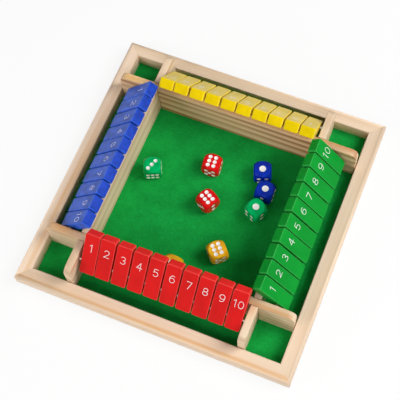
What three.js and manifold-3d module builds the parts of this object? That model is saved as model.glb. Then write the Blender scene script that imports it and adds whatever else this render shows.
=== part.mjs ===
import * as THREE from "three";
import { mergeVertices } from "three/addons/utils/BufferGeometryUtils.js";
import Module from "manifold-3d";

// A shut the box game for four players, in millimetres, +Z up. The origin is the middle of the
// footprint, on the surface that the board stands on. The red row lies along -Y, the green row
// along +X, the yellow row along +Y and the blue row along -X.

// Outer frame and floor
const BOARD_WIDTH = 250;
const FRAME_RAIL_WIDTH = 13;
const FRAME_RAIL_HEIGHT = 15.5;
const FRAME_RAIL_ROUND = 4;
const REBATE_WIDTH = 6;
const FLOOR_THICKNESS = 3;

// Inner rails, crossed over one another around the square tray
const TRAY_WIDTH = 148.4;
const INNER_RAIL_THICKNESS = 6.4;
const INNER_RAIL_HEIGHT = 35.2;
const INNER_RAIL_END_ROUND = 7;

// Hinge rods
const ROD_RADIUS = 1.25;
const ROD_SETBACK = 13;
const ROD_HEIGHT = 27.6;
const ROD_SOCKET_DEPTH = 4;
const ROD_SIDES = 12;

// Number tiles
const TILES_PER_ROW = 10;
const TILE_SPACE = 1.2;
const ROW_END_TUCK_SHARE = 0.55;
const TILE_THICKNESS = 9.3;
const TILE_REACH = 29;
const TILE_HEEL = 9.6;
const TILE_CORNER_ROUND = 1.6;
const TILE_EDGE_ROUND = 0.4;

// Dice
const DIE_SIZE = 16;
const DIE_BALL_RADIUS = 10.8;
const DIE_BALL_SEGMENTS = 24;
const DIE_BALL_RINGS = 16;

// Clearances
const SEAT_GAP = 0.3;
const ROD_CLEARANCE = 0.3;
const CUT_OVERRUN = 1;
const MERGE_DISTANCE = 0.0001;

// Places that follow from the sizes above
const boardHalf = BOARD_WIDTH / 2;
const frameInside = boardHalf - FRAME_RAIL_WIDTH;
const trayHalf = TRAY_WIDTH / 2;
const innerRailOutside = trayHalf + INNER_RAIL_THICKNESS;
const innerRailMiddle = trayHalf + INNER_RAIL_THICKNESS / 2;
const innerRailTop = FLOOR_THICKNESS + INNER_RAIL_HEIGHT;
const innerRailHalfLength = frameInside - SEAT_GAP;
const rodPlace = innerRailOutside + ROD_SETBACK;
const rodHeight = FLOOR_THICKNESS + ROD_HEIGHT;
const quarterTurn = Math.PI / 2;

// A tile leans with its back on the outer top edge of its inner rail.
const rodToEdgeAcross = rodPlace - innerRailOutside;
const rodToEdgeUp = innerRailTop - rodHeight;
const rodToEdge = Math.hypot(rodToEdgeAcross, rodToEdgeUp);
const tileLean =
  Math.atan2(rodToEdgeUp, rodToEdgeAcross) +
  Math.asin((TILE_THICKNESS / 2 + SEAT_GAP) / rodToEdge);

// The tiles' upper ends hang over the tray. A row's end tiles keep a tile's space from the crossing
// rails, or as much as leaves only a share of their round corners beside the upper ends of the next row.
const headReach = TILE_REACH * Math.cos(tileLean) + (TILE_THICKNESS / 2) * Math.sin(tileLean);
const headOverhang = trayHalf - rodPlace + headReach;
const rowEndTuck = TILE_CORNER_ROUND * ROW_END_TUCK_SHARE;
const rowEndSpace = Math.max(TILE_SPACE, headOverhang - rowEndTuck);
const spacesInRow = (TILES_PER_ROW - 1) * TILE_SPACE;
const tileWidth = (TRAY_WIDTH - 2 * rowEndSpace - spacesInRow) / TILES_PER_ROW;
const tilePitch = tileWidth + TILE_SPACE;

// Each row has slid a little along its rod, and every tile sits a little off its even place in the row.
// Both are shares of the space between tiles.
const ROWS = [
  {
    side: "front",
    paint: "red",
    slideShare: 0.4,
    lieShares: [0.32, -0.16, 0.04, 0.12, 0.04, 0.1, 0.18, 0.04, 0, -0.2],
  },
  {
    side: "right",
    paint: "green",
    slideShare: 0.1,
    lieShares: [0.24, 0.1, -0.06, 0.16, -0.12, 0.14, -0.04, 0.08, -0.02, -0.16],
  },
  {
    side: "back",
    paint: "yellow",
    slideShare: -0.08,
    lieShares: [0.16, -0.1, 0.06, -0.12, 0.1, -0.04, 0.08, 0.02, 0.28, -0.24],
  },
  {
    side: "left",
    paint: "blue",
    slideShare: 0,
    lieShares: [0.3, -0.3, 0.06, 0.26, -0.26, -0.02, 0.1, -0.1, 0.04, -0.18],
  },
];

// A die lies at a share of the tray's free half width, moved by a share of its own size.
const DICE = [
  { name: "die_green_a", paint: "green", trayShare: [-0.871, 0.196], dieShare: [0, 0], turn: 24.4 },
  { name: "die_red_a", paint: "red", trayShare: [-0.106, 0.541], dieShare: [0, 0], turn: 4.2 },
  { name: "die_red_b", paint: "red", trayShare: [0.038, 0.013], dieShare: [0, 0], turn: 61.1 },
  { name: "die_blue_b", paint: "blue", trayShare: [0.731, 0.422], dieShare: [0, 0], turn: -2 },
  { name: "die_blue_a", paint: "blue", trayShare: [0.731, 0.422], dieShare: [-0.556, 1.06], turn: 20.3 },
  { name: "die_green_b", paint: "green", trayShare: [0.731, 0.422], dieShare: [-0.094, -1.181], turn: 61 },
  { name: "die_yellow_a", paint: "yellow", trayShare: [0.443, -0.636], dieShare: [0, 0], turn: 43 },
];

const PINE = { color: 0xe6cba8, roughness: 0.62, metalness: 0 };
const FELT = { color: 0x128238, roughness: 0.95, metalness: 0 };
const STEEL = { color: 0xb9b7b2, roughness: 0.3, metalness: 1 };
const PAINTS = {
  red: { color: 0xd8181e, roughness: 0.32, metalness: 0 },
  green: { color: 0x14a53c, roughness: 0.32, metalness: 0 },
  yellow: { color: 0xf2cc0c, roughness: 0.32, metalness: 0 },
  blue: { color: 0x2442d2, roughness: 0.32, metalness: 0 },
};

const wasm = await Module();
wasm.setup();

function solidOf(geometry) {
  const bare = geometry.clone();
  bare.deleteAttribute("normal");
  bare.deleteAttribute("uv");
  const merged = mergeVertices(bare, MERGE_DISTANCE);
  const mesh = new wasm.Mesh({
    numProp: 3,
    vertProperties: new Float32Array(merged.attributes.position.array),
    triVerts: new Uint32Array(merged.index.array),
  });
  return new wasm.Manifold(mesh);
}

function geometryOf(solid) {
  const mesh = solid.getMesh();
  const indexed = new THREE.BufferGeometry();
  indexed.setAttribute("position", new THREE.BufferAttribute(mesh.vertProperties, 3));
  indexed.setIndex(new THREE.BufferAttribute(mesh.triVerts, 1));
  const faceted = indexed.toNonIndexed();
  faceted.computeVertexNormals();
  return faceted;
}

function piece(name, geometry, finish) {
  const mesh = new THREE.Mesh(geometry, new THREE.MeshStandardMaterial(finish));
  mesh.name = name;
  return mesh;
}

// A hole whose flats clear a rod, lying along X.
function rodHole(length) {
  const radius = (ROD_RADIUS + ROD_CLEARANCE) / Math.cos(Math.PI / ROD_SIDES);
  return new THREE.CylinderGeometry(radius, radius, length, ROD_SIDES).rotateZ(quarterTurn);
}

// The front rail's section, with its outer face at -Y, run along X and sheared to a mitre at both ends.
function frameRail() {
  const roundFoot = FRAME_RAIL_HEIGHT - FRAME_RAIL_ROUND;
  const section = new THREE.Shape();
  section.moveTo(-boardHalf, 0);
  section.lineTo(-frameInside - REBATE_WIDTH, 0);
  section.lineTo(-frameInside - REBATE_WIDTH, FLOOR_THICKNESS);
  section.lineTo(-frameInside, FLOOR_THICKNESS);
  section.lineTo(-frameInside, FRAME_RAIL_HEIGHT);
  section.lineTo(-boardHalf + FRAME_RAIL_ROUND, FRAME_RAIL_HEIGHT);
  section.absarc(-boardHalf + FRAME_RAIL_ROUND, roundFoot, FRAME_RAIL_ROUND, quarterTurn, Math.PI);
  section.closePath();
  const rail = new THREE.ExtrudeGeometry(section, {
    depth: BOARD_WIDTH,
    bevelEnabled: false,
    curveSegments: 3,
  });
  const alongX = new THREE.Matrix4().makeBasis(
    new THREE.Vector3(0, 1, 0),
    new THREE.Vector3(0, 0, 1),
    new THREE.Vector3(1, 0, 0),
  );
  rail.applyMatrix4(alongX).translate(-boardHalf, 0, 0);
  const points = rail.attributes.position;
  for (let i = 0; i < points.count; i += 1) {
    points.setX(i, Math.sign(points.getX(i)) * Math.abs(points.getY(i)));
  }
  rail.computeVertexNormals();
  return rail;
}

function basePanel() {
  const width = 2 * (frameInside + REBATE_WIDTH - SEAT_GAP);
  const panel = new THREE.BoxGeometry(width, width, FLOOR_THICKNESS);
  return panel.translate(0, 0, FLOOR_THICKNESS / 2);
}

// A notch that lets a crossing rail through, half as deep as the rail is high.
function lapNotch(outline, centre, edge, inward, direction) {
  const halfWidth = INNER_RAIL_THICKNESS / 2 + SEAT_GAP;
  const bottom = edge + inward * (INNER_RAIL_HEIGHT / 2 + SEAT_GAP / 2);
  outline.lineTo(centre - direction * halfWidth, edge);
  outline.lineTo(centre - direction * halfWidth, bottom);
  outline.lineTo(centre + direction * halfWidth, bottom);
  outline.lineTo(centre + direction * halfWidth, edge);
}

// An inner rail along X, seen from the front, with its notches above or below.
function innerRail(notchesAbove) {
  const end = innerRailHalfLength;
  const round = INNER_RAIL_END_ROUND;
  const outline = new THREE.Shape();
  outline.moveTo(-end, 0);
  if (!notchesAbove) {
    lapNotch(outline, -innerRailMiddle, 0, 1, 1);
    lapNotch(outline, innerRailMiddle, 0, 1, 1);
  }
  outline.lineTo(end, 0);
  outline.lineTo(end, INNER_RAIL_HEIGHT - round);
  outline.absarc(end - round, INNER_RAIL_HEIGHT - round, round, 0, quarterTurn);
  if (notchesAbove) {
    lapNotch(outline, innerRailMiddle, INNER_RAIL_HEIGHT, -1, -1);
    lapNotch(outline, -innerRailMiddle, INNER_RAIL_HEIGHT, -1, -1);
  }
  outline.lineTo(round - end, INNER_RAIL_HEIGHT);
  outline.absarc(round - end, INNER_RAIL_HEIGHT - round, round, quarterTurn, Math.PI);
  outline.closePath();
  const board = new THREE.ExtrudeGeometry(outline, {
    depth: INNER_RAIL_THICKNESS,
    bevelEnabled: false,
    curveSegments: 3,
  });
  board.rotateX(quarterTurn).translate(0, -trayHalf, FLOOR_THICKNESS);

  const socketLength = ROD_SOCKET_DEPTH + CUT_OVERRUN;
  const socketMiddle = -trayHalf - ROD_SOCKET_DEPTH + socketLength / 2;
  let rail = solidOf(board);
  for (const side of [-1, 1]) {
    const socket = rodHole(socketLength).rotateZ(quarterTurn);
    socket.translate(side * rodPlace, socketMiddle, rodHeight);
    rail = rail.subtract(solidOf(socket));
  }
  return geometryOf(rail);
}

function hingeRod() {
  const length = 2 * (trayHalf + ROD_SOCKET_DEPTH - SEAT_GAP);
  return new THREE.CylinderGeometry(ROD_RADIUS, ROD_RADIUS, length, ROD_SIDES).rotateZ(quarterTurn);
}

// A tile about its hinge: X along the rod, Y towards its upper end, Z out of its number face.
function numberTile() {
  const side = tileWidth / 2;
  const round = TILE_CORNER_ROUND;
  const face = new THREE.Shape();
  face.absarc(side - round, round - TILE_HEEL, round, -quarterTurn, 0);
  face.absarc(side - round, TILE_REACH - round, round, 0, quarterTurn);
  face.absarc(round - side, TILE_REACH - round, round, quarterTurn, Math.PI);
  face.absarc(round - side, round - TILE_HEEL, round, Math.PI, 3 * quarterTurn);
  face.closePath();
  const block = new THREE.ExtrudeGeometry(face, {
    depth: TILE_THICKNESS - 2 * TILE_EDGE_ROUND,
    bevelThickness: TILE_EDGE_ROUND,
    bevelSize: TILE_EDGE_ROUND,
    bevelOffset: -TILE_EDGE_ROUND,
    bevelSegments: 1,
    curveSegments: 1,
  });
  block.translate(0, 0, TILE_EDGE_ROUND - TILE_THICKNESS / 2);
  const hole = rodHole(tileWidth + 2 * CUT_OVERRUN);
  return geometryOf(solidOf(block).subtract(solidOf(hole)));
}

// A cube whose edges and corners are taken off by a ball about its middle.
function die() {
  const cube = new THREE.BoxGeometry(DIE_SIZE, DIE_SIZE, DIE_SIZE);
  const ball = new THREE.SphereGeometry(DIE_BALL_RADIUS, DIE_BALL_SEGMENTS, DIE_BALL_RINGS);
  return geometryOf(solidOf(cube).intersect(solidOf(ball)));
}

// One side of the board, as seen from the player who sits at it.
function boardSide(row, index) {
  const group = new THREE.Group();
  group.rotation.z = index * quarterTurn;
  group.add(piece(`frame_rail_${row.side}`, frameRail(), PINE));
  group.add(piece(`inner_rail_${row.side}`, innerRail(index % 2 === 1), PINE));

  const rod = piece(`hinge_rod_${row.side}`, hingeRod(), STEEL);
  rod.position.set(0, -rodPlace, rodHeight);
  group.add(rod);

  const firstTile = (-(TILES_PER_ROW - 1) / 2) * tilePitch;
  for (let i = 0; i < TILES_PER_ROW; i += 1) {
    const number = String(i + 1).padStart(2, "0");
    const tile = piece(`tile_${row.paint}_${number}`, numberTile(), PAINTS[row.paint]);
    const lie = (row.slideShare + row.lieShares[i % row.lieShares.length]) * TILE_SPACE;
    tile.position.set(firstTile + i * tilePitch + lie, -rodPlace, rodHeight);
    tile.rotation.x = tileLean;
    group.add(tile);
  }
  return group;
}

function looseDie(entry) {
  const freeHalf = trayHalf - DIE_BALL_RADIUS;
  const mesh = piece(entry.name, die(), PAINTS[entry.paint]);
  mesh.position.set(
    entry.trayShare[0] * freeHalf + entry.dieShare[0] * DIE_SIZE,
    entry.trayShare[1] * freeHalf + entry.dieShare[1] * DIE_SIZE,
    FLOOR_THICKNESS + DIE_SIZE / 2,
  );
  mesh.rotation.z = THREE.MathUtils.degToRad(entry.turn);
  return mesh;
}

const game = new THREE.Group();
game.name = "shut_the_box";
game.add(piece("base_panel", basePanel(), FELT));
ROWS.forEach((row, index) => game.add(boardSide(row, index)));
DICE.forEach((entry) => game.add(looseDie(entry)));

export default game;
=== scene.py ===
import math

import bmesh
import bpy
from mathutils import Matrix, Vector, noise


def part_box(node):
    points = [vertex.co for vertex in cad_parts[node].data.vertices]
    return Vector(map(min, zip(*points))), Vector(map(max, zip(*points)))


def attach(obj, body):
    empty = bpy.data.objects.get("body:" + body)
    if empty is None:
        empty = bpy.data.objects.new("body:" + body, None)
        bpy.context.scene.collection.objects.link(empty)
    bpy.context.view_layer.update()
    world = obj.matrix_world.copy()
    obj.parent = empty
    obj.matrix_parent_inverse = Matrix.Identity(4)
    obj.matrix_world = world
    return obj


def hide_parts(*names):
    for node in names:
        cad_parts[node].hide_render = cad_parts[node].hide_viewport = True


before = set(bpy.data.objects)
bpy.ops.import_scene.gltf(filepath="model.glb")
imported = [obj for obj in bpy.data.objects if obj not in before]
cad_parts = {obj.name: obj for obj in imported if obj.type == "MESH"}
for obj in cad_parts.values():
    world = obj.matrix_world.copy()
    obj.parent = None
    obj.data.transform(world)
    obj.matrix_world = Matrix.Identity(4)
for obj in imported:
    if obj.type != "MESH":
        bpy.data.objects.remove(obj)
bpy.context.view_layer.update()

# Looks of the shut the box game, in the frame of its solids. Sizes are in millimetres unless a
# comment says otherwise, and MM turns them into metres.
scene = bpy.context.scene
MM = 0.001
ROOT = "board"

# Each side and the colour of its tiles. A side's pieces are built at the front and then turned.
SIDES = (("front", "red"), ("right", "green"), ("back", "yellow"), ("left", "blue"))

# The view of the photograph, solved from the frame's edges and the tiles. Lengths are in metres,
# apart from the sensor's width.
PHOTO_PIXELS = 400
FOCAL_PIXELS = 955.0
SENSOR_WIDTH = 36.0
CAMERA_AZIMUTH = math.radians(27.852)
CAMERA_ELEVATION = math.radians(66.849)
CAMERA_ROLL = math.radians(-6.092)
CAMERA_DISTANCE = 0.84896
CAMERA_TARGET = Vector((-0.00635, 0.00337, 0.0))
CAMERA_CLIP = (0.01, 50.0)

# The ground and the lamps, in metres, degrees and watts. Azimuth 0 is the front and 90 the
# right.
GROUND_HALF = 4.0
GROUND_DROP = 0.0003
GROUND_TONE = 0.9
GROUND_GLOW = 0.86
AMBIENT = 0.05
LAMP_DISTANCE = 1.5
LAMPS = (
    # name, azimuth, elevation, width, height (None for a disk), power
    ("key", 112, 46, 0.9, None, 17.0),
    ("fill", 318, 25, 0.9, None, 9.0),
    ("top", 240, 70, 1.6, None, 1.5),
    ("front", 28, 50, 1.8, 0.12, 8.0),
)

# Frame, floor board and felt
BOARD_HALF = 125.0
FRAME_INSIDE = 112.0
FRAME_HEIGHT = 15.5
FRAME_ROUND = 4.0
FRAME_FOOT_ROUND = 1.2
FRAME_INNER_ROUND = 0.7
FRAME_ARC_STEPS = 8
REBATE = 6.0
MITRE_SEAM = 0.06
FLOOR_TOP = 3.0
FLOOR_HALF = 117.7
FLOOR_CORNER_ROUND = 1.0
FELT_THICKNESS = 0.8
FELT_DIP = 0.06
FELT_WAVES_PER_MM = 0.45
FELT_CELLS = 120
FELT_FLAT_FROM = 0.5

# Inner rails. They lap one another in notches, and hold the rods' ends in sockets.
TRAY_HALF = 74.2
RAIL_THICKNESS = 6.4
RAIL_HEIGHT = 35.2
RAIL_HALF_LENGTH = 111.7
RAIL_END_ROUND = 7.0
RAIL_EDGE_ROUND = 0.7
RAIL_ARC_STEPS = 10
NOTCH_HALF = 3.5
NOTCH_GAP = 0.15
SOCKET_RADIUS = 1.5
SOCKET_DEPTH = 4.0

# Rods and tiles. A tile leans with its back near the outer top edge of its inner rail.
ROD_PLACE = 93.6
ROD_HEIGHT = 30.6
ROD_RADIUS = 1.25
ROD_CHAMFER = 0.3
ROD_END_GAP = 0.3
ROD_AROUND = 28
TILE_REACH = 29.0
TILE_HEEL = 9.6
TILE_THICKNESS = 9.3
TILE_CORNER_ROUND = 1.6
TILE_EDGE_ROUND = 0.7
TILE_HOLE_RADIUS = 1.55
TILE_GAP = 0.3
EDGE_ACROSS = ROD_PLACE - TRAY_HALF - RAIL_THICKNESS
EDGE_UP = FLOOR_TOP + RAIL_HEIGHT - ROD_HEIGHT
TILE_LEAN = (math.atan2(EDGE_UP, EDGE_ACROSS)
             + math.asin((TILE_THICKNESS / 2 + TILE_GAP) / math.hypot(EDGE_ACROSS, EDGE_UP)))

# Where a tile's paint is worn and carries a painted highlight along its edges, and which faces
# are its ends, by the direction of its faces
EDGE_WEAR_AND_HIGHLIGHT = 3.2
HOLE_RIM = 2 * TILE_HOLE_RADIUS
# Faces turned this far along a tile's length are its ends, whose own tone of paint is painted
# light
TILE_END_FROM = 0.8

# Printed numbers, along the centre lines of their strokes
STROKE = 0.46
NUMBER_SCALE = 0.97
NUMBER_SHIFT = 0.35
NUMBER_DROP = 12.9
NUMBER_PROUD = 0.04
NUMBER_SUNK = 0.05
BEND_LIMIT = 0.4

# Dice: cubes blended with a ball, whose faces are built in rings
DIE_HALF = 8.0
DIE_BALL = 10.8
DIE_BLEND = 5.0
DIE_AROUND = 64
DIE_RING_SHARES = (0.25, 0.5, 0.72, 0.84, 0.9, 0.94, 0.97, 1.0, 1.03, 1.07, 1.12)
DIE_RIM_RINGS = 3
DIE_WELD = 0.002
DIE_SHARP_FROM = math.radians(28)
PIP_RADIUS = 1.75
PIP_DEPTH = 0.42
ONE_PIP_RADIUS = 2.95
ONE_PIP_DEPTH = 0.6
PIP_STEPS = 7
PIP_AROUND = 32
PLUG_FLARE = 0.3
PLUG_PROUD = 1.0

# How far cutters pass what they cut, and how edges are rounded and shaded
CUT_PAST = 1.0
HOLE_AROUND = 24
ROUND_FROM = math.radians(32)
ROUND_STEPS = 3
LARGE_FACE_WEIGHT = 100


# Meshes

def piece(name, mesh, place=None):
    obj = bpy.data.objects.new(name, mesh)
    scene.collection.objects.link(obj)
    if place is not None:
        obj.matrix_world = place
    return obj


def drop(*objects):
    for obj in objects:
        bpy.data.objects.remove(obj)


def tidy(mesh, weld=0.0):
    """Welds points closer than weld and turns all faces outwards."""
    bm = bmesh.new()
    bm.from_mesh(mesh)
    if weld:
        bmesh.ops.remove_doubles(bm, verts=bm.verts, dist=weld * MM)
    bmesh.ops.recalc_face_normals(bm, faces=bm.faces)
    bm.to_mesh(mesh)
    bm.free()
    return mesh


def mesh_of(name, points, faces, weld=0.0):
    """A mesh from points in millimetres."""
    mesh = bpy.data.meshes.new(name)
    mesh.from_pydata([Vector(p) * MM for p in points], [], faces)
    return tidy(mesh, weld)


def rounded(corners, steps=6):
    """An outline through corners (x, y, radius), each turned by an arc."""
    outline = []
    for i, (x, y, radius) in enumerate(corners):
        here = Vector((x, y))
        if radius == 0:
            outline.append(here)
            continue
        before = (Vector(corners[i - 1][:2]) - here).normalized()
        after = (Vector(corners[(i + 1) % len(corners)][:2]) - here).normalized()
        half = before.angle(after) / 2
        centre = here + (before + after).normalized() * radius / math.sin(half)
        arm = here + before * radius / math.tan(half) - centre
        left = before.x * after.y - before.y * after.x < 0
        turn = (math.pi - 2 * half) * (1 if left else -1)
        for k in range(steps + 1):
            a = turn * k / steps
            spin = Vector((
                arm.x * math.cos(a) - arm.y * math.sin(a),
                arm.x * math.sin(a) + arm.y * math.cos(a),
            ))
            outline.append(centre + spin)
    return outline


def prism(name, outline, low, high, at):
    """An outline carried from low to high. at(u, v, w) gives the point."""
    count = len(outline)
    points = [at(p[0], p[1], w) for w in (low, high) for p in outline]
    faces = [list(range(count)), list(range(count, 2 * count))[::-1]]
    for i in range(count):
        j = (i + 1) % count
        faces.append((i, j, count + j, count + i))
    return mesh_of(name, points, faces)


def lathe(name, profile, around, at):
    """A solid of revolution through a profile of (along, radius), closed flat at both ends.
    at(along, u, v) gives the point."""
    points, faces = [], []
    for along, radius in profile:
        for k in range(around):
            a = 2 * math.pi * k / around
            points.append(at(along, radius * math.cos(a), radius * math.sin(a)))
    last = (len(profile) - 1) * around
    for ring in range(0, last, around):
        for k in range(around):
            n = (k + 1) % around
            faces.append((ring + k, ring + n, ring + around + n, ring + around + k))
    faces.append(list(range(around))[::-1])
    faces.append([last + k for k in range(around)])
    return mesh_of(name, points, faces)


def same(u, v, w):
    return u, v, w


def applied(obj):
    """The object with its modifiers made part of its mesh."""
    graph = bpy.context.evaluated_depsgraph_get()
    mesh = bpy.data.meshes.new_from_object(obj.evaluated_get(graph), depsgraph=graph)
    obj.modifiers.clear()
    obj.data = mesh
    return obj


def carve(obj, cutters, operation="DIFFERENCE"):
    for cutter in cutters:
        cut = obj.modifiers.new("cut", "BOOLEAN")
        cut.operation = operation
        cut.solver = "EXACT"
        cut.object = cutter


def shade(obj):
    """Smooth shading that keeps the large faces flat."""
    for polygon in obj.data.polygons:
        polygon.use_smooth = True
    weighted = obj.modifiers.new("shading", "WEIGHTED_NORMAL")
    weighted.weight = LARGE_FACE_WEIGHT
    weighted.keep_sharp = True


def softened(obj, width, cutters):
    """Rounds the sharp edges and takes out the cutters, which are then dropped."""
    bevel = obj.modifiers.new("edges", "BEVEL")
    bevel.width = width * MM
    bevel.segments = ROUND_STEPS
    bevel.limit_method = "ANGLE"
    bevel.angle_limit = ROUND_FROM
    carve(obj, cutters)
    shade(obj)
    applied(obj)
    drop(*cutters)


def side_turn(index):
    return Matrix.Rotation(index * math.pi / 2, 4, "Z")


# Nodes

EVEN = (1.0, 1.0, 1.0)
PURE_WHITE = (1.0, 1.0, 1.0)

# How far the noise moves between pieces, in metres
GRAIN_DRIFT = (0.9, 0.3, 0.2)

# The colour sockets of a Mix node
MIX_LOW, MIX_HIGH, MIX_RESULT = 6, 7, 2


def is_socket(value):
    return isinstance(value, bpy.types.NodeSocket)


def grey(level):
    return (level, level, level)


def rgba(colour):
    return (*colour, 1.0)


def feed(tree, node, inputs):
    """Links the sockets and sets the plain values."""
    for key, value in inputs.items():
        if is_socket(value):
            tree.links.new(value, node.inputs[key])
        else:
            node.inputs[key].default_value = value


def nodes_of(name):
    mat = bpy.data.materials.new(name)
    mat.use_nodes = True
    tree = mat.node_tree
    return mat, tree, tree.nodes["Principled BSDF"]


def add(tree, kind, inputs=(), **settings):
    node = tree.nodes.new(kind)
    for key, value in settings.items():
        setattr(node, key, value)
    feed(tree, node, dict(inputs))
    return node


def calc(tree, operation, *values):
    return add(tree, "ShaderNodeMath", enumerate(values), operation=operation).outputs[0]


def vector_calc(tree, operation, *values):
    node = add(tree, "ShaderNodeVectorMath", enumerate(values), operation=operation)
    return node.outputs["Value" if operation == "LENGTH" else "Vector"]


def times(tree, value, factor, offset=0.0):
    return calc(tree, "MULTIPLY_ADD", value, factor, offset)


def blended(tree, amount, low, high, blend="MIX"):
    """Between two colours, each a socket or three numbers."""
    low, high = (c if is_socket(c) else rgba(c) for c in (low, high))
    node = add(tree, "ShaderNodeMix", {"Factor": amount, MIX_LOW: low, MIX_HIGH: high},
               data_type="RGBA", blend_type=blend)
    return node.outputs[MIX_RESULT]


def tinted(tree, colour, tint, amount):
    """The colour, multiplied by the tint as far as amount says."""
    return blended(tree, amount, colour, tint, "MULTIPLY")


def ramp(tree, value, stops):
    node = add(tree, "ShaderNodeValToRGB", {"Fac": value})
    elements = node.color_ramp.elements
    while len(elements) < len(stops):
        elements.new(0.5)
    for element, (place, colour) in zip(elements, stops):
        element.position = place
        element.color = rgba(colour)
    return node.outputs["Color"]


def grains(tree, scale, stretch=EVEN, detail=2.0, lean=0.0):
    """Noise in the piece's own coordinates, moved from piece to piece."""
    place = add(tree, "ShaderNodeTexCoord").outputs["Object"]
    if lean:
        place = add(tree, "ShaderNodeVectorRotate", {"Vector": place, "Angle": -lean},
                    rotation_type="X_AXIS").outputs[0]
    chance = add(tree, "ShaderNodeObjectInfo").outputs["Random"]
    moved = vector_calc(tree, "MULTIPLY_ADD", chance, GRAIN_DRIFT, place)
    pulled = vector_calc(tree, "MULTIPLY", moved, stretch)
    field = add(tree, "ShaderNodeTexNoise", {"Vector": pulled, "Scale": scale, "Detail": detail})
    return field.outputs["Fac"]


def bump(tree, shader, height, strength, distance):
    node = add(tree, "ShaderNodeBump",
               {"Height": height, "Strength": strength, "Distance": distance * MM})
    tree.links.new(node.outputs["Normal"], shader.inputs["Normal"])


# Pine. The rings' radius hardly changes along the grain, and a ring is darkest in its late wood.
ALONG_GRAIN = 0.03
RING_UNEVENNESS = 0.9
RING_PROFILE = (
    (0.0, grey(0.0)), (0.3, grey(0.15)), (0.68, grey(1.0)), (0.86, grey(0.7)), (1.0, grey(0.0)),
)
BLOT_SWAY = 0.8
BLOT_FADE = ((0.35, grey(1.0)), (1.0, grey(0.0)))
CALM = 0.85
FIBRE_TINT = (0.86, 0.78, 0.68)


def blot(tree, place, sway, centre, reach):
    """Nearly 1 about a centre, fading to 0 with a wavy edge."""
    away = vector_calc(tree, "SUBTRACT", place, [c * MM for c in centre])
    share = vector_calc(tree, "MULTIPLY", away, [1 / (r * MM) for r in reach])
    far = vector_calc(tree, "LENGTH", share)
    return ramp(tree, calc(tree, "MULTIPLY_ADD", sway, BLOT_SWAY, far), BLOT_FADE)


def wood(name, light, late, pith, spacing, waver, contrast, tinted_spots=(), calm=()):
    """Pine with growth rings about a pith (y, z) that runs along X, and fine fibres. A tinted
    spot is (centre, reach, tint). The rings are fainter in a calm spot, which is (centre, reach)."""
    mat, tree, shader = nodes_of(name)
    place = add(tree, "ShaderNodeTexCoord").outputs["Object"]
    sway = grains(tree, scale=26.0, stretch=(0.12, 1.0, 1.0))
    uneven = grains(tree, scale=55.0, stretch=(0.05, 1.0, 1.0), detail=1.0)
    patches = grains(tree, scale=14.0, stretch=(0.35, 1.0, 1.0), detail=1.0)
    fibres = grains(tree, scale=700.0, stretch=(0.03, 1.0, 1.0), detail=3.0)

    across = vector_calc(tree, "SUBTRACT", place, (0.0, pith[0] * MM, pith[1] * MM))
    flat = vector_calc(tree, "MULTIPLY", across, (ALONG_GRAIN, 1.0, 1.0))
    swayed = calc(tree, "MULTIPLY_ADD", sway, waver * MM, vector_calc(tree, "LENGTH", flat))
    rings = calc(tree, "MULTIPLY_ADD", uneven, RING_UNEVENNESS,
                 times(tree, swayed, 1 / (spacing * MM)))
    band = ramp(tree, calc(tree, "FRACT", rings), RING_PROFILE)
    amount = calc(tree, "MULTIPLY", band, patches)
    strength = times(tree, uneven, factor=2.0 * contrast, offset=0.1 * contrast)
    amount = calc(tree, "MULTIPLY", amount, strength)
    for centre, reach in calm:
        kept = times(tree, blot(tree, place, sway, centre, reach), factor=-CALM, offset=1.0)
        amount = calc(tree, "MULTIPLY", amount, kept)

    colour = blended(tree, amount, light, late)
    for centre, reach, tint in tinted_spots:
        colour = tinted(tree, colour, tint, blot(tree, place, sway, centre, reach))
    colour = tinted(tree, colour, FIBRE_TINT, times(tree, fibres, factor=1.1, offset=-0.25))
    feed(tree, shader, {
        "Base Color": colour,
        "Roughness": times(tree, fibres, factor=0.2, offset=0.42),
    })
    bump(tree, shader, fibres, strength=0.18, distance=0.12)
    return mat


# The other materials

FELT_TUFT_TINT = (0.72, 0.8, 0.72)
FELT_SHEEN_TINT = (0.35, 0.8, 0.42)


def paint(name, face, end, edge, gloss, patch=0.85, mottle=90.0, tint=PURE_WHITE):
    """Gloss paint on wood, with its own colours on the faces, on the ends and along the edges.
    The face and end colours are painted light, each set to how lit those faces are, and paler
    number faces carry a painted reflection; the edge colour is worn paint and a painted
    highlight.
    """
    mat, tree, shader = nodes_of(name)
    cloud = grains(tree, scale=mottle, stretch=(1.0, 0.5, 1.0), detail=1.5, lean=TILE_LEAN)
    grain = grains(tree, scale=420.0, stretch=(1.0, 0.07, 1.0), lean=TILE_LEAN)
    at_lit_end = add(tree, "ShaderNodeAttribute", attribute_name="end").outputs["Fac"]
    at_worn_lit_edge = add(tree, "ShaderNodeAttribute", attribute_name="edge").outputs["Fac"]
    # The ends take their own tone, which is painted light
    toned = tinted(tree, blended(tree, at_lit_end, face, end), grey(patch),
                   times(tree, cloud, factor=2.4, offset=-0.7))
    feed(tree, shader, {
        # The edge colour is worn paint and a painted highlight along the rounded edges
        "Base Color": blended(tree, at_worn_lit_edge, toned, edge),
        "Roughness": times(tree, cloud, factor=0.12, offset=0.26),
        "Specular IOR Level": gloss,
        "Specular Tint": rgba(tint),
    })
    bump(tree, shader, grain, strength=0.05, distance=0.1)
    return mat


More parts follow.
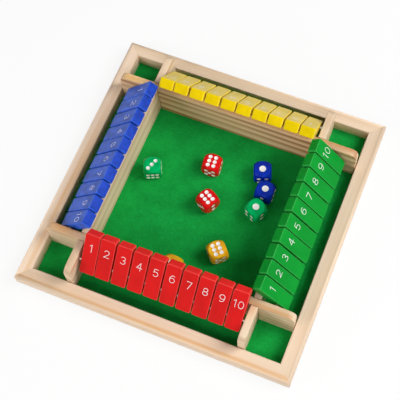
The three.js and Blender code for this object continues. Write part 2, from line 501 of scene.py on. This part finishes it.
def felt(name, bright, dull):
    mat, tree, shader = nodes_of(name)
    wide = grains(tree, scale=60.0, detail=3.0)
    fine = grains(tree, scale=520.0, detail=4.0)
    tuft = grains(tree, scale=2600.0)
    both = calc(tree, "ADD", wide, fine)
    tone = ramp(tree, times(tree, both, factor=1.6, offset=-1.1), ((0.0, dull), (1.0, bright)))
    feed(tree, shader, {
        "Base Color": tinted(tree, tone, FELT_TUFT_TINT,
                             times(tree, tuft, factor=1.0, offset=-0.15)),
        "Roughness": 0.95,
        "Specular IOR Level": 0.15,
        "Sheen Weight": 0.06,
        "Sheen Roughness": 0.5,
        "Sheen Tint": rgba(FELT_SHEEN_TINT),
    })
    bump(tree, shader, tuft, strength=0.35, distance=0.35)
    return mat


def acrylic(name, bright, deep, tint):
    mat, tree, shader = nodes_of(name)
    cloud = grains(tree, scale=110.0, detail=1.0)
    feed(tree, shader, {
        "Base Color": ramp(tree, cloud, ((0.3, deep), (0.62, bright))),
        "Roughness": times(tree, cloud, factor=0.08, offset=0.12),
        "Specular IOR Level": 0.4,
        "Specular Tint": rgba(tint),
    })
    return mat


def white(name, dull, bright, roughness):
    mat, tree, shader = nodes_of(name)
    cloud = grains(tree, scale=900.0)
    feed(tree, shader, {
        "Base Color": ramp(tree, cloud, ((0.25, dull), (0.7, bright))),
        "Roughness": times(tree, cloud, factor=0.12, offset=roughness),
    })
    return mat


def steel(name, dull, bright):
    mat, tree, shader = nodes_of(name)
    drawn = grains(tree, scale=900.0, stretch=(0.02, 1.0, 1.0))
    feed(tree, shader, {
        "Base Color": ramp(tree, drawn, ((0.3, dull), (0.7, bright))),
        "Roughness": times(tree, drawn, factor=0.2, offset=0.3),
        "Metallic": 1.0,
    })
    return mat


# Tints of spots in the pine
GOLD = (0.84, 0.60, 0.35)
TAN = (0.90, 0.78, 0.62)
RUSSET = (0.72, 0.58, 0.44)
AMBER = (0.90, 0.66, 0.36)
CARAMEL = (0.80, 0.60, 0.36)
HONEY = (1.0, 0.96, 0.45)
UMBER = (0.70, 0.64, 0.56)

# Tinted and calm spots lie where they would at the front, before the side is turned
FRAME_PITH = (-30.0, -70.0)
INNER_PITH = (-77.0, -60.0)
FRAME_PINE = {
    "front": wood(
        "pine_frame_front", light=(0.84, 0.665, 0.505), late=(0.70, 0.45, 0.25),
        pith=FRAME_PITH, spacing=9.0, waver=9.0, contrast=0.5,
        tinted_spots=(
            ((-20.0, -125.0, 8.0), (90.0, 5.0, 5.0), TAN),
            ((25.0, -122.0, 15.0), (700.0, 4.2, 6.0), AMBER),
        ),
    ),
    "right": wood(
        "pine_frame_right", light=(0.86, 0.685, 0.52), late=(0.72, 0.46, 0.24),
        pith=FRAME_PITH, spacing=9.0, waver=9.0, contrast=0.5,
    ),
    "back": wood(
        "pine_frame_back", light=(0.88, 0.70, 0.52), late=(0.72, 0.46, 0.24),
        pith=FRAME_PITH, spacing=9.0, waver=9.0, contrast=0.5,
    ),
    "left": wood(
        "pine_frame_left", light=(0.92, 0.73, 0.565), late=(0.76, 0.48, 0.24),
        pith=FRAME_PITH, spacing=11.0, waver=9.0, contrast=0.5,
        tinted_spots=(
            ((10.0, -113.5, 15.0), (80.0, 5.0, 6.0), TAN),
            ((60.0, -124.0, 10.0), (40.0, 5.0, 6.0), TAN),
            ((40.0, -117.0, 15.5), (240.0, 5.0, 7.0), AMBER),
        ),
    ),
}
INNER_PINE = {
    "front": wood(
        "pine_inner_front", light=(0.86, 0.68, 0.49), late=(0.60, 0.39, 0.21),
        pith=INNER_PITH, spacing=7.4, waver=9.0, contrast=0.75,
        tinted_spots=(
            ((-98.0, -77.0, 38.0), (40.0, 14.0, 16.0), GOLD),
            ((-95.0, -75.0, 38.5), (80.0, 3.0, 5.0), CARAMEL),
            # A reddish-brown darkening along the top of the rail and the top of its walls
            ((-20.0, -77.4, 40.5), (400.0, 18.0, 13.0), RUSSET),
            ((90.0, -79.4, 38.5), (180.0, 4.6, 6.0), AMBER),
        ),
    ),
    "right": wood(
        "pine_inner_right", light=(0.86, 0.69, 0.51), late=(0.58, 0.36, 0.18),
        pith=INNER_PITH, spacing=9.0, waver=9.0, contrast=0.8,
        tinted_spots=(
            ((98.0, -77.0, 36.0), (22.0, 8.0, 10.0), TAN),
            ((-84.0, -77.0, 39.0), (20.0, 9.0, 9.0), TAN),
        ),
    ),
    "back": wood(
        "pine_inner_back", light=(0.93, 0.66, 0.42), late=(0.46, 0.22, 0.09),
        pith=INNER_PITH, spacing=10.0, waver=14.0, contrast=2.2,
        tinted_spots=(
            ((100.0, -76.0, 34.0), (24.0, 8.0, 14.0), GOLD),
            ((98.0, -77.4, 38.5), (60.0, 14.0, 10.0), HONEY),
            ((-88.0, -75.5, 38.0), (50.0, 6.0, 7.0), UMBER),
            ((-98.0, -79.4, 38.5), (120.0, 4.6, 6.0), AMBER),
            # A reddish-brown darkening along the top of the rail and the top of its walls
            ((0.0, -77.4, 40.5), (400.0, 18.0, 13.0), RUSSET),
        ),
        calm=(
            ((-98.0, -74.2, 20.0), (50.0, 50.0, 50.0)),
            ((98.0, -74.2, 20.0), (50.0, 50.0, 50.0)),
        ),
    ),
    "left": wood(
        "pine_inner_left", light=(0.90, 0.71, 0.52), late=(0.52, 0.32, 0.16),
        pith=INNER_PITH, spacing=14.0, waver=11.0, contrast=1.2,
    ),
}
BOARD_WOOD = wood(
    "board_wood", light=(0.66, 0.49, 0.31), late=(0.47, 0.30, 0.16),
    pith=(0.0, -150.0), spacing=5.0, waver=14.0, contrast=1.0,
)
FELT = felt("felt_green", bright=(0.006, 0.40, 0.063), dull=(0.003, 0.28, 0.040))
STEEL = steel("rod_steel", dull=(0.50, 0.44, 0.36), bright=(0.86, 0.79, 0.67))
NUMBER_WHITE = white(
    "number_white", dull=(0.78, 0.79, 0.79), bright=(0.91, 0.92, 0.92), roughness=0.4,
)
PIP_WHITE = white(
    "pip_white", dull=(0.85, 0.82, 0.81), bright=(0.93, 0.91, 0.90), roughness=0.3,
)
# Painted light: each paint's face and end colours are set to how lit its number faces and ends
# are, and the paler blue and yellow faces are a painted reflection
PAINT = {
    "red": paint(
        "paint_red", face=(0.75, 0.014, 0.013), end=(0.98, 0.024, 0.024),
        edge=(0.94, 0.105, 0.09), gloss=0.09,
    ),
    "green": paint(
        "paint_green", face=(0.002, 0.315, 0.030), end=(0.003, 0.34, 0.030),
        edge=(0.06, 0.48, 0.10), gloss=0.06,
    ),
    "yellow": paint(
        "paint_yellow", face=(0.95, 0.71, 0.09), end=(0.93, 0.67, 0.002),
        edge=(0.97, 0.73, 0.012), gloss=0.12, tint=(1.0, 0.85, 0.15),
    ),
    "blue": paint(
        "paint_blue", face=(0.042, 0.150, 0.80), end=(0.004, 0.062, 0.61),
        edge=(0.05, 0.16, 0.80), gloss=0.11, patch=0.60, mottle=210.0,
    ),
}
DIE_PLASTIC = {
    "red": acrylic(
        "die_red", bright=(0.74, 0.008, 0.010), deep=(0.57, 0.003, 0.005),
        tint=(0.9, 0.12, 0.12),
    ),
    "green": acrylic(
        "die_green", bright=(0.001, 0.47, 0.125), deep=(0.001, 0.34, 0.08),
        tint=(0.01, 0.8, 0.34),
    ),
    "blue": acrylic(
        "die_blue", bright=(0.001, 0.025, 0.42), deep=(0.001, 0.014, 0.31),
        tint=(0.16, 0.27, 0.85),
    ),
    "yellow": acrylic(
        "die_yellow", bright=(0.92, 0.50, 0.016), deep=(0.72, 0.31, 0.005),
        tint=(0.9, 0.7, 0.25),
    ),
}


def dress(obj, mat, body=ROOT, replaces=()):
    """Gives a piece its material and body. It stands for the solids of some nodes, which are
    hidden.
    """
    if obj.data.materials:
        obj.data.materials[0] = mat
    else:
        obj.data.materials.append(mat)
    if replaces:
        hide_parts(*replaces)
    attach(obj, body)


# Camera, ground and lamps

def direction(azimuth, elevation):
    """From the middle of the board outwards. Angles in radians."""
    return Vector((
        math.sin(azimuth) * math.cos(elevation),
        -math.cos(azimuth) * math.cos(elevation),
        math.sin(elevation),
    ))


def add_camera():
    back = direction(CAMERA_AZIMUTH, CAMERA_ELEVATION)
    right = (-back).cross(Vector((0, 0, 1))).normalized()
    up = right.cross(-back)
    turned = math.cos(CAMERA_ROLL) * right + math.sin(CAMERA_ROLL) * up
    upright = -math.sin(CAMERA_ROLL) * right + math.cos(CAMERA_ROLL) * up
    place = CAMERA_TARGET + back * CAMERA_DISTANCE
    data = bpy.data.cameras.new("camera")
    data.sensor_width = SENSOR_WIDTH
    data.lens = data.sensor_width * FOCAL_PIXELS / PHOTO_PIXELS
    data.clip_start, data.clip_end = CAMERA_CLIP
    camera = bpy.data.objects.new("camera", data)
    camera.matrix_world = Matrix((
        (turned.x, upright.x, back.x, place.x),
        (turned.y, upright.y, back.y, place.y),
        (turned.z, upright.z, back.z, place.z),
        (0, 0, 0, 1),
    ))
    scene.collection.objects.link(camera)
    scene.camera = camera


def seen_rays(tree):
    """1 for the rays that should meet the white background."""
    path = add(tree, "ShaderNodeLightPath").outputs
    either = calc(tree, "MAXIMUM", path["Is Camera Ray"], path["Is Glossy Ray"])
    return calc(tree, "MAXIMUM", either, path["Is Transmission Ray"])


def either_shader(tree, share, first, second):
    return add(tree, "ShaderNodeMixShader", {0: share, 1: first, 2: second}).outputs[0]


def add_ground():
    """A pale ground that keeps the shadow and glows white for the rays that see it."""
    mesh = bpy.data.meshes.new("floor")
    corners = ((-1, -1), (1, -1), (1, 1), (-1, 1))
    mesh.from_pydata(
        [(sx * GROUND_HALF, sy * GROUND_HALF, -GROUND_DROP) for sx, sy in corners],
        [], [(0, 1, 2, 3)],
    )
    floor = piece("floor", mesh)
    mat = bpy.data.materials.new("floor")
    mat.use_nodes = True
    tree = mat.node_tree
    tree.nodes.clear()
    lit = add(tree, "ShaderNodeBsdfDiffuse", {"Color": rgba(grey(GROUND_TONE))}).outputs[0]
    glow = add(tree, "ShaderNodeEmission",
               {"Color": rgba(PURE_WHITE), "Strength": 1.0}).outputs[0]
    pale = either_shader(tree, GROUND_GLOW, lit, glow)
    both = either_shader(tree, seen_rays(tree), lit, pale)
    add(tree, "ShaderNodeOutputMaterial", {"Surface": both})
    mesh.materials.append(mat)


def add_world():
    world = bpy.data.worlds.new("studio")
    scene.world = world
    world.use_nodes = True
    tree = world.node_tree
    tree.nodes.clear()
    soft, plain = (
        add(tree, "ShaderNodeBackground", {"Color": rgba(PURE_WHITE), "Strength": s}).outputs[0]
        for s in (AMBIENT, 1.0)
    )
    both = either_shader(tree, seen_rays(tree), soft, plain)
    add(tree, "ShaderNodeOutputWorld", {"Surface": both})


def add_lamp(name, azimuth, elevation, width, height, watts):
    place = direction(math.radians(azimuth), math.radians(elevation)) * LAMP_DISTANCE
    data = bpy.data.lights.new(name, "AREA")
    data.shape = "RECTANGLE" if height else "DISK"
    data.size = width
    if height:
        data.size_y = height
    data.energy = watts
    lamp = bpy.data.objects.new(name, data)
    lamp.location = place
    lamp.rotation_mode = "QUATERNION"
    lamp.rotation_quaternion = (-place).to_track_quat("-Z", "Y")
    scene.collection.objects.link(lamp)


# The board: frame, floor board, felt, inner rails and rods

def frame_rail(index, side):
    section = rounded((
        (-BOARD_HALF, 0, FRAME_FOOT_ROUND),
        (-FRAME_INSIDE - REBATE, 0, 0),
        (-FRAME_INSIDE - REBATE, FLOOR_TOP, 0),
        (-FRAME_INSIDE, FLOOR_TOP, 0),
        (-FRAME_INSIDE, FRAME_HEIGHT, FRAME_INNER_ROUND),
        (-BOARD_HALF, FRAME_HEIGHT, FRAME_ROUND),
    ), FRAME_ARC_STEPS)

    def mitred(y, z, end):
        return end * (abs(y) - MITRE_SEAM), y, z

    name = f"frame_{side}"
    rail = piece(name, prism(name, section, -1, 1, mitred), side_turn(index))
    shade(rail)
    dress(applied(rail), FRAME_PINE[side], replaces=(f"frame_rail_{side}",))


def floor_board():
    outline = rounded([(sx * FLOOR_HALF, sy * FLOOR_HALF, FLOOR_CORNER_ROUND)
                       for sx, sy in ((-1, -1), (1, -1), (1, 1), (-1, 1))])
    board = piece("floor_board",
                  prism("floor_board", outline, 0, FLOOR_TOP - FELT_THICKNESS, same))
    dress(board, BOARD_WOOD, replaces=("base_panel",))
    return board


def felt_cloth(board):
    """A cloth of square cells, slightly uneven on top, closed along its edges."""
    cells, row = FELT_CELLS, FELT_CELLS + 1
    top = row * row
    lower, upper = [], []
    for i in range(row):
        for j in range(row):
            x = FLOOR_HALF * (2 * i / cells - 1)
            y = FLOOR_HALF * (2 * j / cells - 1)
            wave = noise.noise(Vector((x, y, 0)) * FELT_WAVES_PER_MM)
            lower.append((x, y, FLOOR_TOP - FELT_THICKNESS))
            upper.append((x, y, FLOOR_TOP - FELT_DIP * (0.5 + 0.5 * wave)))
    faces = []
    for i in range(cells):
        for j in range(cells):
            a = i * row + j
            faces.append((a, a + 1, a + row + 1, a + row))
            faces.append((top + a, top + a + row, top + a + row + 1, top + a + 1))
    for k in range(cells):
        for a, b in ((k, k + 1), (cells * row + k, cells * row + k + 1),
                     (k * row, (k + 1) * row), (k * row + cells, (k + 1) * row + cells)):
            faces.append((a, b, top + b, top + a))
    mesh = mesh_of("felt", lower + upper, faces)
    for polygon in mesh.polygons:
        polygon.use_smooth = abs(polygon.normal.z) > FELT_FLAT_FROM
    cloth = piece("felt", mesh)
    dress(cloth, FELT)


def socket_cutter(x):
    deep = -TRAY_HALF - SOCKET_DEPTH
    profile = ((deep, SOCKET_RADIUS), (-TRAY_HALF + CUT_PAST, SOCKET_RADIUS))
    return piece("socket", lathe("socket", profile, HOLE_AROUND,
                                 lambda along, u, v: (x + u, along, ROD_HEIGHT + v)))


def inner_rail(index, side):
    """The front and back rails are notched from below, the right and left ones from above."""
    end, top, foot = RAIL_HALF_LENGTH, FLOOR_TOP + RAIL_HEIGHT, FLOOR_TOP
    middle = FLOOR_TOP + RAIL_HEIGHT / 2
    crossing = TRAY_HALF + RAIL_THICKNESS / 2

    def notch(c, edge, deep, way):
        return [(c - way * NOTCH_HALF, edge, 0), (c - way * NOTCH_HALF, deep, 0),
                (c + way * NOTCH_HALF, deep, 0), (c + way * NOTCH_HALF, edge, 0)]

    from_above = index % 2 == 1
    corners = [(-end, foot, 0)]
    if not from_above:
        for c in (-crossing, crossing):
            corners += notch(c, foot, middle + NOTCH_GAP, 1)
    corners += [(end, foot, 0), (end, top, RAIL_END_ROUND)]
    if from_above:
        for c in (crossing, -crossing):
            corners += notch(c, top, middle - NOTCH_GAP, -1)
    corners.append((-end, top, RAIL_END_ROUND))
    name = f"inner_{side}"
    mesh = prism(name, rounded(corners, RAIL_ARC_STEPS), -TRAY_HALF - RAIL_THICKNESS, -TRAY_HALF,
                 lambda x, z, y: (x, y, z))
    rail = piece(name, mesh)
    softened(rail, RAIL_EDGE_ROUND, [socket_cutter(ROD_PLACE), socket_cutter(-ROD_PLACE)])
    rail.matrix_world = side_turn(index)
    dress(rail, INNER_PINE[side], replaces=(f"inner_rail_{side}",))


def hinge_rod(index, side):
    half = TRAY_HALF + SOCKET_DEPTH - ROD_END_GAP
    name = f"rod_{side}"
    profile = ((-half, ROD_RADIUS - ROD_CHAMFER), (-half + ROD_CHAMFER, ROD_RADIUS),
               (half - ROD_CHAMFER, ROD_RADIUS), (half, ROD_RADIUS - ROD_CHAMFER))
    rod = piece(name, lathe(name, profile, ROD_AROUND, same), rod_place(index))
    shade(rod)
    dress(applied(rod), STEEL, replaces=(f"hinge_rod_{side}",))


def rod_place(index, along=0.0):
    """A place on a side's rod, along metres from its middle."""
    return side_turn(index) @ Matrix.Translation((along, -ROD_PLACE * MM, ROD_HEIGHT * MM))


# Tiles and their numbers. Their meshes carry the lean, about the rod.

def face_values(mesh, name, value_of):
    values = mesh.attributes.new(name, "FLOAT", "FACE").data
    for polygon, value in zip(mesh.polygons, values):
        value.value = value_of(polygon)


# Worn paint and a painted highlight along a tile's rounded edges: more on steeper bevels, none
# about the hole
def worn_edge_and_highlight(polygon):
    if Vector(polygon.center[1:]).length < HOLE_RIM * MM:
        return 0.0
    slope = 1 - max(abs(c) for c in polygon.normal)
    return min(1.0, slope * EDGE_WEAR_AND_HIGHLIGHT)


# A tile's ends. The paint takes its own tone there, which is painted light.
def ends_for_painted_light(polygon):
    return 1.0 if abs(polygon.normal.y) > TILE_END_FROM else 0.0


def tile_mesh(width):
    half, top, heel = width / 2, TILE_REACH, -TILE_HEEL
    outline = rounded([(x, y, TILE_CORNER_ROUND)
                       for x, y in ((-half, heel), (half, heel), (half, top), (-half, top))])
    deep = TILE_THICKNESS / 2
    tile = piece("tile", prism("tile", outline, -deep, deep, same))
    profile = ((-half - CUT_PAST, TILE_HOLE_RADIUS), (half + CUT_PAST, TILE_HOLE_RADIUS))
    softened(tile, TILE_EDGE_ROUND, [piece("hole", lathe("hole", profile, HOLE_AROUND, same))])
    mesh = tile.data
    drop(tile)
    face_values(mesh, "edge", worn_edge_and_highlight)
    face_values(mesh, "end", ends_for_painted_light)
    mesh.transform(Matrix.Rotation(TILE_LEAN, 4, "X"))
    return mesh


def arc(cx, cy, rx, ry, start, stop, steps=22):
    """Points on an ellipse, from start to stop in degrees."""
    span = [math.radians(start + (stop - start) * k / steps) for k in range(steps + 1)]
    return [(cx + rx * math.cos(a), cy + ry * math.sin(a)) for a in span]


def oval(cx, cy, rx, ry, steps=36):
    return arc(cx, cy, rx, ry, 0, 360, steps)[:-1]


def upside_down(lines):
    return [[(-x, -y) for x, y in line] for line in lines]


# Each digit as closed ovals and open lines, about its own middle
SIX_OVALS = [oval(0, -1.25, 2.2, 2.2)]
SIX_LINES = [arc(0.35, -0.75, 2.55, 4.2, 178, 55)]
DIGITS = {
    0: ([oval(0, 0, 2.15, 3.45, steps=40)], []),
    1: ([], [[(-1.55, 2.25), (0.45, 3.62)], [(0.35, 4.0), (0.35, -4.0)]]),
    2: ([], [arc(0, 1.35, 2.1, 2.1, 168, -34) + [(-2.05, -3.2)], [(-2.6, -3.45), (2.6, -3.45)]]),
    3: ([], [arc(-0.1, 1.7, 1.9, 1.75, 155, -92), arc(-0.1, -1.75, 2.2, 1.7, 92, -155)]),
    4: ([], [[(0.85, 3.5), (-2.25, -1.35), (2.7, -1.35)], [(0.95, 4.0), (0.95, -4.0)]]),
    5: ([], [[(2.1, 3.45), (-1.35, 3.45), (-1.7, 0.35)]
             + arc(-0.05, -1.25, 2.25, 2.2, 138, -148)]),
    6: (SIX_OVALS, SIX_LINES),
    7: ([], [[(-2.5, 3.45), (2.15, 3.45), (-0.75, -4.0)]]),
    8: ([oval(0, 1.75, 1.8, 1.7), oval(0, -1.7, 2.2, 1.75)], []),
    9: (upside_down(SIX_OVALS), upside_down(SIX_LINES)),
}
TEN = ((1, -3.3), (0, 2.0))


def ribbon(line, shift, closed):
    """A raised stroke of even width along a line."""
    points = [Vector(p) * NUMBER_SCALE for p in line]
    count = len(points)
    sides = []
    for i, here in enumerate(points):
        before = points[i - 1] if closed or i else None
        after = points[(i + 1) % count] if closed or i < count - 1 else None
        into = (here - before).normalized() if before is not None else (after - here).normalized()
        out = (after - here).normalized() if after is not None else into
        mean = (into + out).normalized()
        normal = Vector((-mean.y, mean.x))
        reach = STROKE / 2 / max(BEND_LIMIT, normal.dot(Vector((-out.y, out.x))))
        sides.append((here + normal * reach, here - normal * reach))
    low, high = TILE_THICKNESS / 2 - NUMBER_SUNK, TILE_THICKNESS / 2 + NUMBER_PROUD
    corners, faces = [], []
    for left, right in sides:
        for p in (left, right):
            x = p.x + shift * NUMBER_SCALE + NUMBER_SHIFT
            corners += [(x, p.y, low), (x, p.y, high)]
    for i in range(count if closed else count - 1):
        a, b = 4 * i, 4 * ((i + 1) % count)
        faces += [(a, b, b + 2, a + 2), (a + 1, a + 3, b + 3, b + 1),
                  (a, a + 1, b + 1, b), (a + 2, b + 2, b + 3, a + 3)]
    if not closed:
        e = 4 * (count - 1)
        faces += [(0, 2, 3, 1), (e, e + 1, e + 3, e + 2)]
    return piece("stroke", mesh_of("stroke", corners, faces))


def number_mesh(number):
    parts = []
    for digit, shift in TEN if number == 10 else ((number, 0.0),):
        ovals, lines = DIGITS[digit]
        parts += [ribbon(line, shift, True) for line in ovals]
        parts += [ribbon(line, shift, False) for line in lines]
    first, others = parts[0], parts[1:]
    carve(first, others, "UNION")
    mesh = applied(first).data
    drop(*parts)
    mesh.transform(Matrix.Rotation(TILE_LEAN, 4, "X")
                   @ Matrix.Translation((0, (TILE_REACH - NUMBER_DROP) * MM, 0)))
    return mesh


def tile_rows():
    """Each tile takes its place along its rod from its solid."""
    low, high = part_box("tile_red_01")
    block = tile_mesh((high - low).x / MM)
    numbers = [number_mesh(n) for n in range(1, 11)]
    for index, (side, colour) in enumerate(SIDES):
        along_axis = side_turn(index) @ Vector((1, 0, 0))
        for n, number in enumerate(numbers, 1):
            label = f"{colour}_{n:02d}"
            node = f"tile_{label}"
            low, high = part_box(node)
            hinge = rod_place(index, ((low + high) / 2).dot(along_axis))
            tile = piece(f"block_{label}", block.copy(), hinge)
            dress(tile, PAINT[colour], node, (node,))
            printed = piece(f"number_{label}", number.copy(), hinge)
            dress(printed, NUMBER_WHITE, node)


# Dice

SPREAD = 3.35
SIX_ALONG = 4.1
SIX_ACROSS = 2.55

# Each face of the master die: the way it faces, and the first axis of its pips
FACE_AXES = {
    1: (Vector((0, 0, 1)), Vector((1, 0, 0))), 6: (Vector((0, 0, -1)), Vector((0, 1, 0))),
    2: (Vector((0, -1, 0)), Vector((0, 0, 1))), 5: (Vector((0, 1, 0)), Vector((0, 0, 1))),
    3: (Vector((1, 0, 0)), Vector((0, 1, 0))), 4: (Vector((-1, 0, 0)), Vector((0, 0, 1))),
}

# Places of the pips, as (along the face's first axis, along its second)
CORNER_PIPS = [(a * SPREAD, b * SPREAD) for a in (-1, 1) for b in (-1, 1)]
PIPS = {
    1: [(0, 0)],
    2: [(-SPREAD, 0), (SPREAD, 0)],
    3: [(-SPREAD, -SPREAD), (0, 0), (SPREAD, SPREAD)],
    4: CORNER_PIPS,
    5: CORNER_PIPS + [(0, 0)],
    6: [(a * SIX_ALONG, b * SIX_ACROSS) for a in (-1, 0, 1) for b in (-1, 1)],
}

# name, colour, value on top, value at the front, turn in degrees
DICE = (
    ("green_a", "green", 3, 6, 24.4),
    ("red_a", "red", 6, 5, 4.2),
    ("red_b", "red", 6, 2, 61.1),
    ("blue_a", "blue", 1, 4, 20.3),
    ("blue_b", "blue", 1, 2, -2.0),
    ("green_b", "green", 1, 4, -29.0),
    ("yellow_a", "yellow", 6, 5, 43.0),
    ("yellow_b", "yellow", 1, 2, 0.0),
)

# The last die, almost hidden behind the red row, has no solid: the solids are at their limit
HIDDEN_DIE = Vector((-3.2, -66.1, 11.0))


def die_radius(way):
    """From the middle to the surface: the cube's or the ball's, whichever is nearer, blended."""
    flat = DIE_HALF / max(abs(c) for c in way)
    blend = (math.exp(-DIE_BLEND * (flat - DIE_HALF))
             + math.exp(-DIE_BLEND * (DIE_BALL - DIE_HALF)))
    return DIE_HALF - math.log(blend) / DIE_BLEND


def die_shell():
    """Six face patches, each in rings about its middle, that meet along the cube's edges."""
    circle = math.acos(DIE_HALF / DIE_BALL)
    rings = [circle * share for share in DIE_RING_SHARES]
    points, faces = [], []
    for normal, first in FACE_AXES.values():
        second = normal.cross(first)
        start = len(points)
        points.append(normal * DIE_HALF)
        for step in range(len(rings) + DIE_RIM_RINGS):
            for k in range(DIE_AROUND):
                phi = 2 * math.pi * k / DIE_AROUND
                c, s = math.cos(phi), math.sin(phi)
                if step < len(rings):
                    theta = rings[step]
                else:
                    rim = math.atan(1 / max(abs(c), abs(s)))
                    outwards = (step - len(rings) + 1) / DIE_RIM_RINGS
                    theta = rings[-1] + (rim - rings[-1]) * outwards
                way = normal * math.cos(theta) + (first * c + second * s) * math.sin(theta)
                points.append(way * die_radius(way))
        for k in range(DIE_AROUND):
            n = (k + 1) % DIE_AROUND
            faces.append((start, start + 1 + k, start + 1 + n))
            for step in range(len(rings) + DIE_RIM_RINGS - 1):
                a = start + 1 + step * DIE_AROUND
                b = a + DIE_AROUND
                faces.append((a + k, b + k, b + n, a + n))
    return mesh_of("die", points, faces, DIE_WELD)


def pip_cutters():
    """Lens-shaped plugs that take out the dimples, in the second material."""
    bm = bmesh.new()
    for value, (normal, first) in FACE_AXES.items():
        second = normal.cross(first)
        radius = ONE_PIP_RADIUS if value == 1 else PIP_RADIUS
        depth = ONE_PIP_DEPTH if value == 1 else PIP_DEPTH
        ball = (radius ** 2 + depth ** 2) / (2 * depth)
        widest = math.acos(1 - (depth + PLUG_FLARE) / ball)
        angles = [widest * k / PIP_STEPS for k in range(1, PIP_STEPS + 1)]
        profile = [(DIE_HALF - depth + ball * (1 - math.cos(a)), ball * math.sin(a))
                   for a in angles]
        profile.append((DIE_HALF + PLUG_PROUD, profile[-1][1]))
        for a, b in PIPS[value]:
            at = first * a + second * b
            plug = lathe("plug", profile, PIP_AROUND,
                         lambda along, u, v: normal * along + at + first * u + second * v)
            bm.from_mesh(plug)
            bpy.data.meshes.remove(plug)
    bmesh.ops.recalc_face_normals(bm, faces=bm.faces)
    mesh = bpy.data.meshes.new("plugs")
    bm.to_mesh(mesh)
    bm.free()
    for polygon in mesh.polygons:
        polygon.material_index = 1
    return mesh


def die_master():
    shell = piece("die", die_shell())
    plugs = piece("plugs", pip_cutters())
    for obj in (shell, plugs):
        obj.data.materials.append(DIE_PLASTIC["red"])
        obj.data.materials.append(PIP_WHITE)
    carve(shell, [plugs])
    mesh = applied(shell).data
    drop(shell, plugs)
    for polygon in mesh.polygons:
        polygon.use_smooth = True
    mesh.set_sharp_from_angle(angle=DIE_SHARP_FROM)
    return mesh


def facing(top, front):
    """Turns the master die so that these values lie on top and at the front."""
    up, ahead = FACE_AXES[top][0], -FACE_AXES[front][0]
    across = ahead.cross(up)
    return Matrix((across, ahead, up)).to_4x4()


def dice():
    master = die_master()
    for name, colour, top, front, turn in DICE:
        node = f"die_{name}"
        has_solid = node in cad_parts
        centre = sum(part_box(node), Vector()) / 2 if has_solid else HIDDEN_DIE * MM
        place = (Matrix.Translation(centre) @ Matrix.Rotation(math.radians(turn), 4, "Z")
                 @ facing(top, front))
        die = piece(f"cube_{name}", master.copy(), place)
        body, replaces = (node, (node,)) if has_solid else (ROOT, ())
        dress(die, DIE_PLASTIC[colour], body, replaces)


scene.view_settings.view_transform = "Standard"
add_camera()
add_ground()
add_world()
for lamp in LAMPS:
    add_lamp(*lamp)

for index, (side, _) in enumerate(SIDES):
    frame_rail(index, side)
    inner_rail(index, side)
    hinge_rod(index, side)
felt_cloth(floor_board())
tile_rows()
dice()
